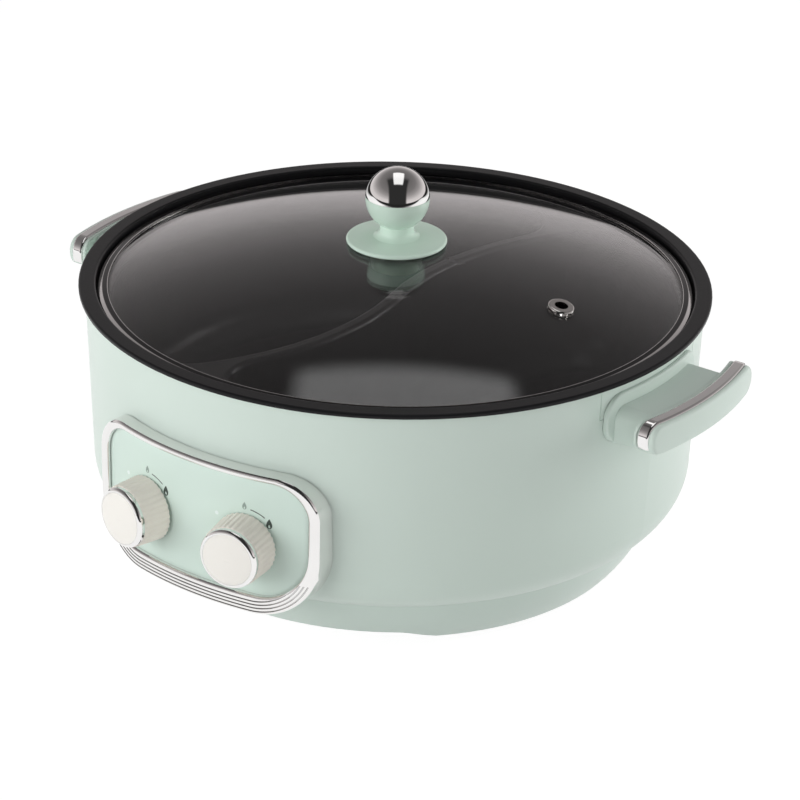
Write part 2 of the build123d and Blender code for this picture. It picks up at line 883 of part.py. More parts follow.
with BuildPart() as steam_vent:
    lip_height = glass_thickness / 2 + face_gap + vent_lip
    for face in (-1, 1):
        with BuildSketch(vent_plane.offset(face * (glass_thickness / 2 + face_gap))):
            Circle(vent_outer_radius)
        extrude(amount=face * vent_lip)
    with BuildSketch(vent_plane):
        Circle(vent_hole_radius + vent_lip)
    extrude(amount=lip_height, both=True)
    with BuildSketch(vent_plane):
        Circle(vent_hole_radius)
    extrude(amount=2 * lip_height, both=True, mode=Mode.SUBTRACT)
    outer_edges = steam_vent.edges().filter_by(GeomType.CIRCLE).sort_by(SortBy.RADIUS)[-4:]
    fillet([e for e in outer_edges if abs(vent_plane.to_local_coords(e.center()).Z) > lip_height - 0.1], 0.9)
save(steam_vent.part, "steam_vent")

# ---------------------------------------------------------------- control panel


def outer_outline(grow=0.0):
    """The panel's outer edge seen from the front, moved outwards by a distance."""
    return rounded_outline(
        Plane.XZ,
        panel_half_width + grow,
        panel_bottom - grow,
        panel_top + grow,
        panel_bottom_corner + grow,
        panel_top_corner + grow,
    )


def inner_outline(grow=0.0):
    """The edge of the panel's window seen from the front, moved outwards by a distance."""
    return rounded_outline(
        Plane.XZ,
        panel_half_width - border_side + grow,
        panel_bottom + border_bottom - grow,
        panel_top - border_top + grow,
        panel_bottom_corner - (border_side + border_bottom) / 2 + grow,
        panel_top_corner - border_top + grow,
    )


def panel_layer(outline, inner, outer, top=cutter_height):
    """Curved slab under an outline between two radii of the panel, cut off at a height."""
    with BuildPart() as layer:
        extrude(outline, amount=panel_radius)
        add(upright_tube(panel_axis_y, inner, outer, 0, top), mode=Mode.INTERSECT)
    return layer.part


def dial_plane(side, radius):
    """Plane square to one dial's axis, at a distance from the panel's own axis."""
    turn = radians(side * dial_angle)
    return Plane(
        origin=(radius * sin(turn), panel_axis_y - radius * cos(turn), dial_height),
        x_dir=(cos(turn), sin(turn), 0),
        z_dir=(sin(turn), -cos(turn), 0),
    )


bead_radius = panel_radius + bead_height
trim_back_radius = panel_radius - trim_depth
body_keepout = housing_envelope(seat_gap)

with BuildPart() as panel_trim:
    add(panel_layer(outer_outline(), trim_back_radius, bead_radius))
    add(
        panel_layer(inner_outline(), plate_face_radius - face_gap, bead_radius + 1),
        mode=Mode.SUBTRACT,
    )
    add(
        panel_layer(
            inner_outline(plate_lap + face_gap), trim_back_radius - 1, plate_face_radius + face_gap
        ),
        mode=Mode.SUBTRACT,
    )
    front_edges = [
        e
        for e in panel_trim.edges()
        if abs(hypot((e @ 0.5).X, (e @ 0.5).Y - panel_axis_y) - bead_radius) < 0.01
    ]
    fillet(front_edges, bead_fillet)
    for rib in range(rib_count):
        inset = rib_start + rib * rib_pitch_width
        rib_edge = outer_outline(-inset - rib_width)
        rib_floor = bead_radius - rib_depth
        rib_end = panel_bottom + rib_height
        groove = panel_layer(outer_outline(-inset), rib_floor, bead_radius + 2, rib_end)
        groove -= panel_layer(rib_edge, rib_floor - 1, bead_radius + 3, rib_end + 1)
        add(groove, mode=Mode.SUBTRACT)
    add(body_keepout, mode=Mode.SUBTRACT)
save(panel_trim.part, "panel_trim")

with BuildPart() as panel_plate:
    add(panel_layer(inner_outline(plate_lap), plate_back_radius, plate_face_radius))
    for side in (-1, 1):
        with BuildSketch(dial_plane(side, plate_back_radius)):
            Circle(bush_radius + face_gap)
        extrude(amount=3 * plate_thickness, both=True, mode=Mode.SUBTRACT)
save(panel_plate.part, "panel_plate")

with BuildPart() as panel_housing:
    add(panel_layer(inner_outline(plate_lap), trim_back_radius - 1, plate_back_radius - face_gap))
    add(
        panel_layer(
            outer_outline(-trim_inset),
            housing_floor + housing_opening_radius,
            trim_back_radius - face_gap,
        )
    )
    add(
        panel_layer(
            inner_outline(-panel_housing_wall + plate_lap), housing_opening_radius, panel_radius
        ),
        mode=Mode.SUBTRACT,
    )
    add(body_keepout, mode=Mode.SUBTRACT)
    add(upright_tube(0, 1, skirt_top_radius + 2, 0, skirt_top + seat_gap), mode=Mode.SUBTRACT)
save(panel_housing.part, "panel_housing")

board_bottom = panel_bottom + border_bottom + panel_housing_wall - plate_lap + face_gap
board_y = panel_axis_y - plate_back_radius + board_setback

with BuildPart() as control_board:
    with Locations((0, board_y, board_bottom)):
        Box(
            board_width,
            board_thickness,
            board_height,
            align=(Align.CENTER, Align.CENTER, Align.MIN),
        )
    for along in (-20.0, 0.0, 18.0):
        with Locations((along, board_y + board_thickness / 2, board_bottom + 1)):
            Box(
                13,
                4.5,
                board_height - 2,
                align=(Align.CENTER, Align.MIN, Align.MIN),
            )
save(control_board.part, "control_board")

# ---------------------------------------------------------------- dials

pot_front = sqrt(plate_back_radius**2 - pot_radius**2) - face_gap
shaft_start = pot_front - pot_depth + 3
dial_start = plate_face_radius + dial_gap
dial_front = dial_start + dial_skirt_length
cap_radius = dial_ring_radius - dial_ring_width - face_gap
flute_circle = (dial_skirt_radius + dial_front_radius) / 2 + flute_offset
flute_lean = degrees(atan2(dial_skirt_radius - dial_front_radius, dial_skirt_length))


def dial_nodes(side, end):
    """The four pieces that turn together, and the fixed control with its nut."""
    with BuildPart() as control:
        with BuildSketch(dial_plane(side, pot_front)):
            Circle(pot_radius)
        extrude(amount=-pot_depth)
        with BuildSketch(dial_plane(side, pot_front)):
            Circle(bush_radius)
        extrude(amount=plate_face_radius + bush_height - pot_front)
        with BuildSketch(dial_plane(side, shaft_start - seat_gap)):
            Circle(shaft_radius + shaft_gap)
        extrude(amount=pot_depth + 4 * bush_height, mode=Mode.SUBTRACT)
    save(control.part, f"potentiometer_{end}")

    with BuildPart() as nut:
        with BuildSketch(dial_plane(side, plate_face_radius + face_gap)):
            RegularPolygon(nut_width / 2, 6, major_radius=False)
            Circle(bush_radius + face_gap, mode=Mode.SUBTRACT)
        extrude(amount=nut_thickness)
    save(nut.part, f"potentiometer_nut_{end}")

    with BuildPart() as shaft:
        with BuildSketch(dial_plane(side, shaft_start)):
            Circle(shaft_radius)
        extrude(amount=dial_front - 2 - shaft_start)
    save(shaft.part, f"dial_shaft_{end}")

    with BuildPart() as skirt:
        with BuildSketch(dial_plane(side, dial_start)):
            Circle(dial_skirt_radius)
        with BuildSketch(dial_plane(side, dial_front)):
            Circle(dial_front_radius)
        loft()
        fillet(skirt.edges().filter_by(GeomType.CIRCLE).sort_by(SortBy.RADIUS)[0:1], 0.5)
        with Locations(dial_plane(side, (dial_start + dial_front) / 2)):
            with PolarLocations(flute_circle, dial_flutes):
                Cylinder(
                    dial_flute_radius,
                    2 * dial_skirt_length,
                    rotation=(0, -flute_lean, 0),
                    mode=Mode.SUBTRACT,
                )
        with BuildSketch(dial_plane(side, dial_start)):
            Circle(dial_hollow_radius)
        extrude(amount=bush_height + 1, mode=Mode.SUBTRACT)
        with BuildSketch(dial_plane(side, dial_start)):
            Circle(shaft_radius + face_gap)
        extrude(amount=dial_front - 1.9 - dial_start, mode=Mode.SUBTRACT)
    save(skirt.part, f"dial_skirt_{end}")

    with BuildPart() as ring:
        with BuildSketch(dial_plane(side, dial_front + face_gap)):
            Circle(dial_ring_radius)
            Circle(dial_ring_radius - dial_ring_width, mode=Mode.SUBTRACT)
        extrude(amount=dial_ring_depth - face_gap)
        front = ring.faces().sort_by(Axis(dial_plane(side, 0).origin, dial_plane(side, 0).z_dir))[-1]
        fillet(front.edges().sort_by(SortBy.RADIUS)[-1], dial_ring_fillet)
    save(ring.part, f"dial_ring_{end}")

    with BuildPart() as cap:
        with BuildSketch(dial_plane(side, dial_front + face_gap)):
            Circle(cap_radius)
        extrude(amount=dial_ring_depth - face_gap)
        crown_radius = (cap_radius**2 + dial_cap_crown**2) / (2 * dial_cap_crown)
        crown_plane = dial_plane(side, dial_front + dial_ring_depth + dial_cap_crown - crown_radius)
        with Locations(crown_plane):
            crown = Sphere(crown_radius, mode=Mode.PRIVATE)
        with BuildSketch(dial_plane(side, dial_front + face_gap)):
            Circle(cap_radius)
        column = extrude(amount=2 * dial_ring_depth, mode=Mode.PRIVATE)
        add(column & crown)
    save(cap.part, f"dial_cap_{end}")


dial_nodes(-1, "left")
dial_nodes(1, "right")

# ---------------------------------------------------------------- handles


reach = grip_outer_radius + 2 * grip_crown


def side_outline(half_width, bottom, top, corner):
    """Rounded rectangle seen from the side, on the plane through the pot's axis."""
    return rounded_outline(Plane.YZ, half_width, bottom, top, corner, corner)


def grip_outline(inset):
    """The strip's outer edge seen from the side, moved inwards by a distance."""
    return rounded_outline(
        Plane((0, grip_setback, 0), x_dir=(0, 1, 0), z_dir=(1, 0, 0)),
        grip_half_width - inset,
        grip_bottom - strip_rise + inset,
        grip_top - inset,
        grip_corner - inset,
        grip_corner - inset,
    )


def handle_layer(outline, side, inner, outer, bottom=0.0):
    """Curved slab under a side outline between two radii, cut off below a height."""
    with BuildPart() as layer:
        extrude(outline, amount=side * reach)
        add(upright_tube(0, inner, outer, bottom), mode=Mode.INTERSECT)
    return layer.part


def handle_screw_holes(side, radius):
    """Rods through both screw places of one handle."""
    with BuildPart() as rods:
        for along in (-handle_screw_spacing / 2, handle_screw_spacing / 2):
            with Locations((side * handle_screw_end / 2, along, handle_screw_height)):
                Cylinder(radius, handle_screw_end, rotation=(0, 90, 0))
    return rods.part


def axis_distance(edge):
    """Distance of an edge's middle from the pot's axis."""
    return hypot((edge @ 0.5).X, (edge @ 0.5).Y)


def on_strip_crown(edge):
    """Whether an edge runs along the outside of a grip's bright strip."""
    middle = edge @ 0.5
    across = abs(middle.Y - grip_setback)
    beyond_corner = hypot(
        max(across - grip_half_width + grip_corner, 0), max(middle.Z - grip_top + grip_corner, 0)
    )
    on_side = min(
        abs(axis_distance(edge) - strip_inner_radius), abs(axis_distance(edge) - strip_outer_radius)
    )
    return on_side < 0.01 and abs(beyond_corner - grip_corner) < 0.01


for side, end in ((-1, "left"), (1, "right")):
    with BuildPart() as handle_plate:
        plate_outline = side_outline(
            handle_plate_half_width, handle_plate_bottom, handle_plate_top, handle_plate_corner
        )
        add(handle_layer(plate_outline, side, liner_neck_radius, handle_plate_outer_radius))
        outer_edges = [
            e for e in handle_plate.edges() if abs(axis_distance(e) - handle_plate_outer_radius) < 0.01
        ]
        fillet(outer_edges, handle_plate_fillet)
        add(body_keepout, mode=Mode.SUBTRACT)
        add(handle_screw_holes(side, handle_screw_radius + screw_gap), mode=Mode.SUBTRACT)
    save(handle_plate.part, f"handle_plate_{end}")

    with BuildPart() as strip:
        add(handle_layer(grip_outline(0), side, strip_inner_radius, strip_outer_radius, strip_end))
        add(
            handle_layer(grip_outline(strip_thickness), side, liner_neck_radius, reach),
            mode=Mode.SUBTRACT,
        )
        fillet([e for e in strip.edges() if on_strip_crown(e)], strip_fillet)
    save(strip.part, f"handle_strip_{end}")

    with BuildPart() as handle:
        extrude(grip_outline(strip_rise), amount=side * reach)
        with BuildSketch(Plane.XZ) as grip_section:
            with BuildLine():
                Polyline(
                    (grip_outer_radius, grip_bottom),
                    (grip_inner_radius, grip_bottom),
                    (grip_inner_radius, grip_top),
                    (grip_outer_radius, grip_top),
                )
                ThreePointArc(
                    (grip_outer_radius, grip_top),
                    (grip_outer_radius + grip_crown, (grip_bottom + grip_top) / 2),
                    (grip_outer_radius, grip_bottom),
                )
            make_face()
        add(revolve(axis=Axis.Z, mode=Mode.PRIVATE), mode=Mode.INTERSECT)
        grip_faces = handle.faces().sort_by(Axis.X)
        fillet(grip_faces[-1 if side > 0 else 0].edges(), grip_front_fillet)
        back_edges = [e for e in handle.edges() if abs(axis_distance(e) - grip_inner_radius) < 0.01]
        fillet(back_edges, grip_back_fillet)
        band = handle_layer(
            grip_outline(-1),
            side,
            strip_inner_radius - face_gap,
            strip_outer_radius + face_gap,
            strip_end - face_gap,
        )
        band -= handle_layer(
            grip_outline(strip_thickness + face_gap), side, liner_neck_radius, reach
        )
        add(band, mode=Mode.SUBTRACT)
        web = extrude(
            side_outline(web_half_width, web_bottom - web_corner, web_top, web_corner),
            amount=side * reach,
            mode=Mode.PRIVATE,
        )
        web &= turned(
            [
                (web_start_radius, web_bottom),
                (grip_inner_radius + web_lap, web_bottom + web_rise),
                (grip_inner_radius + web_lap, web_top - web_drop),
                (web_start_radius, web_top),
            ]
        )
        add(web)
        recess = extrude(
            side_outline(web_half_width - web_wall, 0, web_top - web_wall, web_corner - web_wall),
            amount=side * reach,
            mode=Mode.PRIVATE,
        )
        recess &= turned(
            [
                (web_start_radius + web_wall, 0),
                (grip_inner_radius - web_wall, 0),
                (grip_inner_radius - web_wall, web_top - web_drop - web_wall),
                (web_start_radius + web_wall, web_top - web_wall),
            ]
        )
        add(recess, mode=Mode.SUBTRACT)
        add(handle_screw_holes(side, handle_screw_radius + face_gap), mode=Mode.SUBTRACT)
    save(handle.part, f"handle_{end}")

with BuildPart() as handle_screws:
    for side in (-1, 1):
        for along in (-handle_screw_spacing / 2, handle_screw_spacing / 2):
            inside_x = sqrt((housing_radius(handle_screw_height) - housing_wall) ** 2 - along**2)
            head_end = inside_x - 1.0
            with Locations((side * (head_end - 1.25), along, handle_screw_height)):
                Cylinder(2 * handle_screw_radius, 2.5, rotation=(0, 90, 0))
            with Locations((side * (head_end + handle_screw_end - 0.3) / 2, along, handle_screw_height)):
                Cylinder(
                    handle_screw_radius, handle_screw_end - 0.3 - head_end, rotation=(0, 90, 0)
                )
save(handle_screws.part, "handle_screws")

# ---------------------------------------------------------------- power inlet

with BuildPart() as power_inlet:
    with BuildSketch(Plane.XZ.offset(-inlet_back)):
        with Locations((0, inlet_middle)):
            RectangleRounded(inlet_width, inlet_height, inlet_corner)
    extrude(amount=inlet_back - inlet_start)
    fillet(power_inlet.faces().sort_by(Axis.Y)[-1].edges(), 1.5)
    add(body_keepout, mode=Mode.SUBTRACT)
    with BuildSketch(Plane.XZ.offset(-inlet_back + 3)):
        with Locations((0, inlet_middle)):
            RectangleRounded(socket_width - 2 * seat_gap, socket_height - 2 * seat_gap, 2)
    extrude(amount=inlet_back - 3 - inlet_inner_end)
    with BuildSketch(Plane.XZ.offset(-inlet_back)):
        with Locations((0, inlet_middle)):
            RectangleRounded(socket_width, socket_height, 3)
    extrude(amount=socket_depth, mode=Mode.SUBTRACT)
    with BuildSketch(Plane.XZ.offset(-inlet_back)):
        with Locations((0, inlet_middle)):
            with Locations((-pin_spacing, 0), (0, pin_rise), (pin_spacing, 0)):
                Rectangle(pin_thickness + face_gap, pin_width + face_gap)
    extrude(amount=rim_radius, mode=Mode.SUBTRACT)
save(power_inlet.part, "power_inlet")

with BuildPart() as inlet_pins:
    with BuildSketch(Plane.XZ.offset(-inlet_back + socket_depth - pin_length)):
        with Locations((0, inlet_middle)):
            with Locations((-pin_spacing, 0), (0, pin_rise), (pin_spacing, 0)):
                Rectangle(pin_thickness, pin_width)
    extrude(amount=inlet_back - socket_depth + pin_length - inlet_inner_end + 3)
save(inlet_pins.part, "inlet_pins")

# ---------------------------------------------------------------- thermostats

with BuildPart() as limit_thermostats:
    for side in (-1, 1):
        with Locations((*heater_place(side, thermostat_angle, thermostat_circle_radius), heater_bottom)):
            Cylinder(
                thermostat_radius,
                thermostat_height,
                align=(Align.CENTER, Align.CENTER, Align.MAX),
            )
save(limit_thermostats.part, "limit_thermostats")
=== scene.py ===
import json
import math
import bpy
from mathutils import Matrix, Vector


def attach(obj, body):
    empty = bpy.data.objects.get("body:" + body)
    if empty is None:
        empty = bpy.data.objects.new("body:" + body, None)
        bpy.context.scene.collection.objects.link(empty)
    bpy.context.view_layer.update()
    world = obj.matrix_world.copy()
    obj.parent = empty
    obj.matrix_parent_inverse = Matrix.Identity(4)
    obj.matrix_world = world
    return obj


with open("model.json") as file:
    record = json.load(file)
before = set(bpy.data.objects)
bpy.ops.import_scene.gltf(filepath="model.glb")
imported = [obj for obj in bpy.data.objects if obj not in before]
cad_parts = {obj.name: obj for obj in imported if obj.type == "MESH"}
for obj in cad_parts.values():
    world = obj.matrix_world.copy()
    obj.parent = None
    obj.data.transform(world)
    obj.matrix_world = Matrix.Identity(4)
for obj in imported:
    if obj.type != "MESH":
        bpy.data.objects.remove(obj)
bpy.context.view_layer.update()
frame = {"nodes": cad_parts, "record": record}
print("frame loaded:", len(frame["nodes"]), "nodes")


# ---- camera

cameraSet = {
    "place": (0.864762, -1.203444, 0.794729),
    "tilt": 64.1415,
    "roll": -1.25,
    "heading": 36.1556,
    "lens": 135.0,
}


def setCamera(values):
    bpy.ops.object.camera_add(location=values["place"])
    shot = bpy.context.object
    shot.name = "shotCamera"
    shot.rotation_euler = [math.radians(values[k]) for k in ("tilt", "roll", "heading")]
    shot.data.lens = values["lens"]
    shot.data.sensor_width = 36.0
    shot.data.clip_end = 50.0
    bpy.context.scene.camera = shot


setCamera(cameraSet)
print("camera set")


# ---- small tools for materials

def newMaterial(name):
    made = bpy.data.materials.new(name)
    made.use_nodes = True
    nodes = made.node_tree.nodes
    shader = nodes["Principled BSDF"]
    return made, nodes, made.node_tree.links, shader


def objectNoise(nodes, links, scale, detail=2.0, rough=0.5):
    place = nodes.new("ShaderNodeTexCoord")
    noise = nodes.new("ShaderNodeTexNoise")
    noise.inputs["Scale"].default_value = scale
    noise.inputs["Detail"].default_value = detail
    noise.inputs["Roughness"].default_value = rough
    links.new(place.outputs["Object"], noise.inputs["Vector"])
    return noise


def between(nodes, links, source, low, high):
    span = nodes.new("ShaderNodeMapRange")
    span.inputs["From Min"].default_value = 0.3
    span.inputs["From Max"].default_value = 0.7
    span.inputs["To Min"].default_value = low
    span.inputs["To Max"].default_value = high
    links.new(source.outputs["Fac"], span.inputs["Value"])
    return span


def twoTone(nodes, links, source, first, second):
    ramp = nodes.new("ShaderNodeValToRGB")
    ramp.color_ramp.elements[0].position = 0.3
    ramp.color_ramp.elements[1].position = 0.7
    ramp.color_ramp.elements[0].color = (*first, 1.0)
    ramp.color_ramp.elements[1].color = (*second, 1.0)
    links.new(source.outputs["Fac"], ramp.inputs["Fac"])
    return ramp


def fineBump(nodes, links, shader, scale, height, detail=3.0):
    grain = objectNoise(nodes, links, scale, detail)
    bump = nodes.new("ShaderNodeBump")
    bump.inputs["Strength"].default_value = 1.0
    bump.inputs["Distance"].default_value = height
    links.new(grain.outputs["Fac"], bump.inputs["Height"])
    links.new(bump.outputs["Normal"], shader.inputs["Normal"])
    return grain


def moulded(name, tone, shade=0.97, rough=(0.30, 0.36), bump=0.00002):
    made, nodes, links, shader = newMaterial(name)
    drift = objectNoise(nodes, links, 9.0)
    cloud = twoTone(nodes, links, drift, tone, [c * shade for c in tone])
    links.new(cloud.outputs["Color"], shader.inputs["Base Color"])
    grain = fineBump(nodes, links, shader, 900.0, bump)
    links.new(between(nodes, links, grain, *rough).outputs["Result"], shader.inputs["Roughness"])
    shader.inputs["IOR"].default_value = 1.49
    return made


def plated(name, tone, rough=(0.03, 0.08), bump=0.00001):
    made, nodes, links, shader = newMaterial(name)
    drift = objectNoise(nodes, links, 40.0)
    cloud = twoTone(nodes, links, drift, tone, [c * 0.97 for c in tone])
    links.new(cloud.outputs["Color"], shader.inputs["Base Color"])
    links.new(between(nodes, links, drift, *rough).outputs["Result"], shader.inputs["Roughness"])
    fineBump(nodes, links, shader, 260.0, bump)
    shader.inputs["Metallic"].default_value = 1.0
    return made


def bandWithPaintedGlints(name, glintTone, dark, cutEdgeGlint, rolledEdgeGlint):
    # painted reflection: the band's metal colour is painted dark on its flat top, as if it mirrored
    # dark surroundings, and painted bright at the cut edge inside and the rolled edge outside as
    # painted highlights
    made = plated(name, glintTone, rough=(0.10, 0.18))
    nodes, links = made.node_tree.nodes, made.node_tree.links
    place = nodes.new("ShaderNodeTexCoord")
    flat = nodes.new("ShaderNodeVectorMath")
    flat.operation = "MULTIPLY"
    flat.inputs[1].default_value = (1.0, 1.0, 0.0)
    links.new(place.outputs["Object"], flat.inputs[0])
    reach = nodes.new("ShaderNodeVectorMath")
    reach.operation = "LENGTH"
    links.new(flat.outputs["Vector"], reach.inputs[0])
    glintShare = nodes.new("ShaderNodeMath")
    glintShare.operation = "MAXIMUM"
    for limits, socket in zip((cutEdgeGlint, rolledEdgeGlint), glintShare.inputs):
        span = nodes.new("ShaderNodeMapRange")
        span.inputs["From Min"].default_value, span.inputs["From Max"].default_value = limits
        links.new(reach.outputs["Value"], span.inputs["Value"])
        links.new(span.outputs["Result"], socket)
    # painted highlight rings laid over the painted dark top
    blend = nodes.new("ShaderNodeMix")
    blend.data_type = "RGBA"
    links.new(glintShare.outputs["Value"], blend.inputs["Factor"])
    blend.inputs["A"].default_value = (*dark, 1.0)
    shader = nodes["Principled BSDF"]
    links.new(shader.inputs["Base Color"].links[0].from_socket, blend.inputs["B"])
    links.new(blend.outputs["Result"], shader.inputs["Base Color"])
    return made


def paintGrooveShade(made, reach, share):
    # painted shade: the base colour is darkened by ambient occlusion in narrow grooves, standing in
    # for the light that does not reach into them
    nodes, links = made.node_tree.nodes, made.node_tree.links
    shader = nodes["Principled BSDF"]
    shade = nodes.new("ShaderNodeAmbientOcclusion")
    shade.samples = 8
    shade.inputs["Distance"].default_value = reach
    blend = nodes.new("ShaderNodeMix")
    blend.data_type = "RGBA"
    blend.inputs["Factor"].default_value = share
    plain = shader.inputs["Base Color"].links[0].from_socket
    links.new(plain, shade.inputs["Color"])
    links.new(plain, blend.inputs["A"])
    links.new(shade.outputs["Color"], blend.inputs["B"])
    links.new(blend.outputs["Result"], shader.inputs["Base Color"])


def glassSkin(name, tone):
    made, nodes, links, shader = newMaterial(name)
    drift = objectNoise(nodes, links, 30.0)
    haze = between(nodes, links, drift, 0.0, 0.015)
    links.new(haze.outputs["Result"], shader.inputs["Roughness"])
    cloud = twoTone(nodes, links, drift, tone, [c * 0.995 for c in tone])
    links.new(cloud.outputs["Color"], shader.inputs["Base Color"])
    shader.inputs["Transmission Weight"].default_value = 1.0
    shader.inputs["IOR"].default_value = 1.5
    return made


bodyMint = moulded("bodyMint", (0.655, 0.765, 0.700))
baseMint = moulded("baseMint", (0.640, 0.745, 0.685))
plateMint = moulded("plateMint", (0.650, 0.785, 0.715), rough=(0.34, 0.42))
knobMint = moulded("knobMint", (0.68, 0.85, 0.74), rough=(0.16, 0.22))
seatGrey = moulded("seatGrey", (0.07, 0.06, 0.05), rough=(0.30, 0.38))
creamPlastic = moulded("creamPlastic", (0.90, 0.88, 0.83), rough=(0.30, 0.38))
# painted light: the dial skirts get a lighter copy of the cream plastic, made lighter than the caps
# to make up for the shade they sit in
skirtCreamPaintedLight = moulded("skirtCreamPaintedLight", (0.95, 0.90, 0.82), rough=(0.34, 0.42))
markDark = moulded("markDark", (0.055, 0.075, 0.065), rough=(0.4, 0.5))
markGrey = moulded("markGrey", (0.30, 0.38, 0.34), rough=(0.4, 0.5))
markPale = moulded("markPale", (0.80, 0.90, 0.87), rough=(0.4, 0.5))
chromePlate = plated("chromePlate", (0.86, 0.85, 0.84), rough=(0.02, 0.05))
trimChromeGrooveShade = plated("trimChromeGrooveShade", (0.86, 0.85, 0.84), rough=(0.03, 0.06))
# painted shade in the trim's grooves
paintGrooveShade(trimChromeGrooveShade, 0.0012, 0.6)
rolledSteel = plated("rolledSteel", (0.68, 0.66, 0.64), rough=(0.12, 0.22))
# lid band with painted highlights at its cut and rolled edges and a painted dark top
lidBandPaintedGlints = bandWithPaintedGlints(
    "lidBandPaintedGlints", (0.90, 0.88, 0.87), (0.05, 0.05, 0.05), (0.1549, 0.1547), (0.1572, 0.1576)
)
zincSteel = plated("zincSteel", (0.55, 0.56, 0.57), rough=(0.25, 0.4))
castAlloy = plated("castAlloy", (0.5, 0.5, 0.5), rough=(0.4, 0.55), bump=0.0001)
panCoat = moulded("panCoat", (0.010, 0.010, 0.011), shade=0.85, rough=(0.30, 0.36), bump=0.00002)
panCoat.node_tree.nodes["Principled BSDF"].inputs["Specular IOR Level"].default_value = 0.2
footRubber = moulded("footRubber", (0.02, 0.02, 0.02), rough=(0.7, 0.8), bump=0.0001)
boardGreen = moulded("boardGreen", (0.03, 0.11, 0.05), rough=(0.4, 0.5))
pinBrass = plated("pinBrass", (0.62, 0.45, 0.2), rough=(0.15, 0.25))
clearGlass = glassSkin("clearGlass", (0.93, 0.93, 0.93))
print("materials made")

finishes = {
    "housing_mint": bodyMint,
    "panel_mint": bodyMint,
    "handle_mint": bodyMint,
    "base_mint": baseMint,
    "plate_mint": plateMint,
    "knob_mint": knobMint,
    "dial_cream": creamPlastic,
    "dial_chrome": chromePlate,
    "knob_chrome": chromePlate,
    "trim_chrome": trimChromeGrooveShade,
    "handle_chrome": chromePlate,
    "lid_steel": rolledSteel,
    "vent_steel": rolledSteel,
    "screw_steel": zincSteel,
    "liner_metal": castAlloy,
    "heater_metal": castAlloy,
    "nonstick": panCoat,
    "feet": footRubber,
    "board": boardGreen,
    "inlet_plastic": baseMint,
    "pin_brass": pinBrass,
    "lid_glass": clearGlass,
}

special = {
    # the skirts take the lighter cream copy with painted light
    "dial_skirt_left": skirtCreamPaintedLight,
    "dial_skirt_right": skirtCreamPaintedLight,
    "knob_seat": seatGrey,
    "lid_rim": lidBandPaintedGlints,
}

slotOf = {s["node"]: s["material_slot"] for s in frame["record"]["subparts"]}
for name, node in frame["nodes"].items():
    for place in node.material_slots:
        place.material = special.get(name, finishes[slotOf[name]])
print("finishes set")


# ---- small tools for pieces

def deselectAll():
    bpy.ops.object.select_all(action="DESELECT")


def keepPlace(piece):
    deselectAll()
    piece.select_set(True)
    bpy.context.view_layer.objects.active = piece
    bpy.ops.object.transform_apply(location=True, rotation=True, scale=True)


def applyModifier(piece, name):
    bpy.context.view_layer.objects.active = piece
    bpy.ops.object.modifier_apply(modifier=name)


# ---- marks beside the dials

dialMarks = {
    "panelRadius": 0.187,
    "panelAxisY": 0.016,
    "dialTurn": 9.8133,  # degrees each side of the middle
    "dialHeight": 0.0696,
    "printThickness": 0.00006,
    # angles in degrees round the dial, and distances from its middle
    "offDot": {"angle": 143.0, "reach": 0.0216, "radius": 0.0011},
    "smallFlame": {"angle": 92.3, "reach": 0.0212, "height": 0.0041},
    "largeFlame": {"angle": 46.9, "reach": 0.0192, "height": 0.0055},
    "heatArc": {"from": 82.5, "to": 58.0, "reach": 0.0201, "width": 0.0005},
}


def flatCurve(name, loops):
    # each loop: knots of place, handle before and handle after, in a flat plane
    deselectAll()
    bpy.ops.curve.primitive_bezier_curve_add(location=(0.0, 0.0, 0.0))
    made = bpy.context.object
    made.name = name
    made.data.dimensions = "2D"
    made.data.fill_mode = "BOTH"
    made.data.resolution_u = 8
    made.data.splines.clear()
    for knots in loops:
        line = made.data.splines.new("BEZIER")
        line.bezier_points.add(len(knots) - 1)
        line.use_cyclic_u = True
        for knot, (place, before, after) in zip(line.bezier_points, knots):
            knot.handle_left_type = knot.handle_right_type = "FREE"
            knot.co = (*place, 0.0)
            knot.handle_left = (*before, 0.0)
            knot.handle_right = (*after, 0.0)
    return made


def dropLoop(height, foot=0.0):
    # a pointed drop that stands on its round end
    half = 0.30 * height
    belly = foot + 0.36 * height
    top = foot + height
    return [
        ((0.0, top), (0.0, top), (0.0, top)),
        ((half, belly), (half, belly + 0.26 * height), (half, belly - 0.22 * height)),
        ((0.0, foot), (0.55 * half, foot), (-0.55 * half, foot)),
        ((-half, belly), (-half, belly - 0.22 * height), (-half, belly + 0.26 * height)),
    ]


def roundLoop(radius):
    pull = 0.5523 * radius
    return [
        ((radius, 0.0), (radius, -pull), (radius, pull)),
        ((0.0, radius), (pull, radius), (-pull, radius)),
        ((-radius, 0.0), (-radius, pull), (-radius, -pull)),
        ((0.0, -radius), (-pull, -radius), (pull, -radius)),
    ]


def arcLoop(radius, width, first, last):
    # a thin band round the origin, between two angles in degrees
    start, end = math.radians(first), math.radians(last)
    reach = 4.0 / 3.0 * math.tan((start - end) / 4.0)

    def knot(size, angle, before, after):
        place = Vector((math.cos(angle), math.sin(angle))) * size
        along = Vector((math.sin(angle), -math.cos(angle))) * size * reach
        return tuple(place), tuple(place + along * before), tuple(place + along * after)

    outer, inner = radius + width / 2, radius - width / 2
    return [
        knot(outer, start, 0.0, 1.0),
        knot(outer, end, -1.0, 0.0),
        knot(inner, end, 0.0, -1.0),
        knot(inner, start, 1.0, 0.0),
    ]


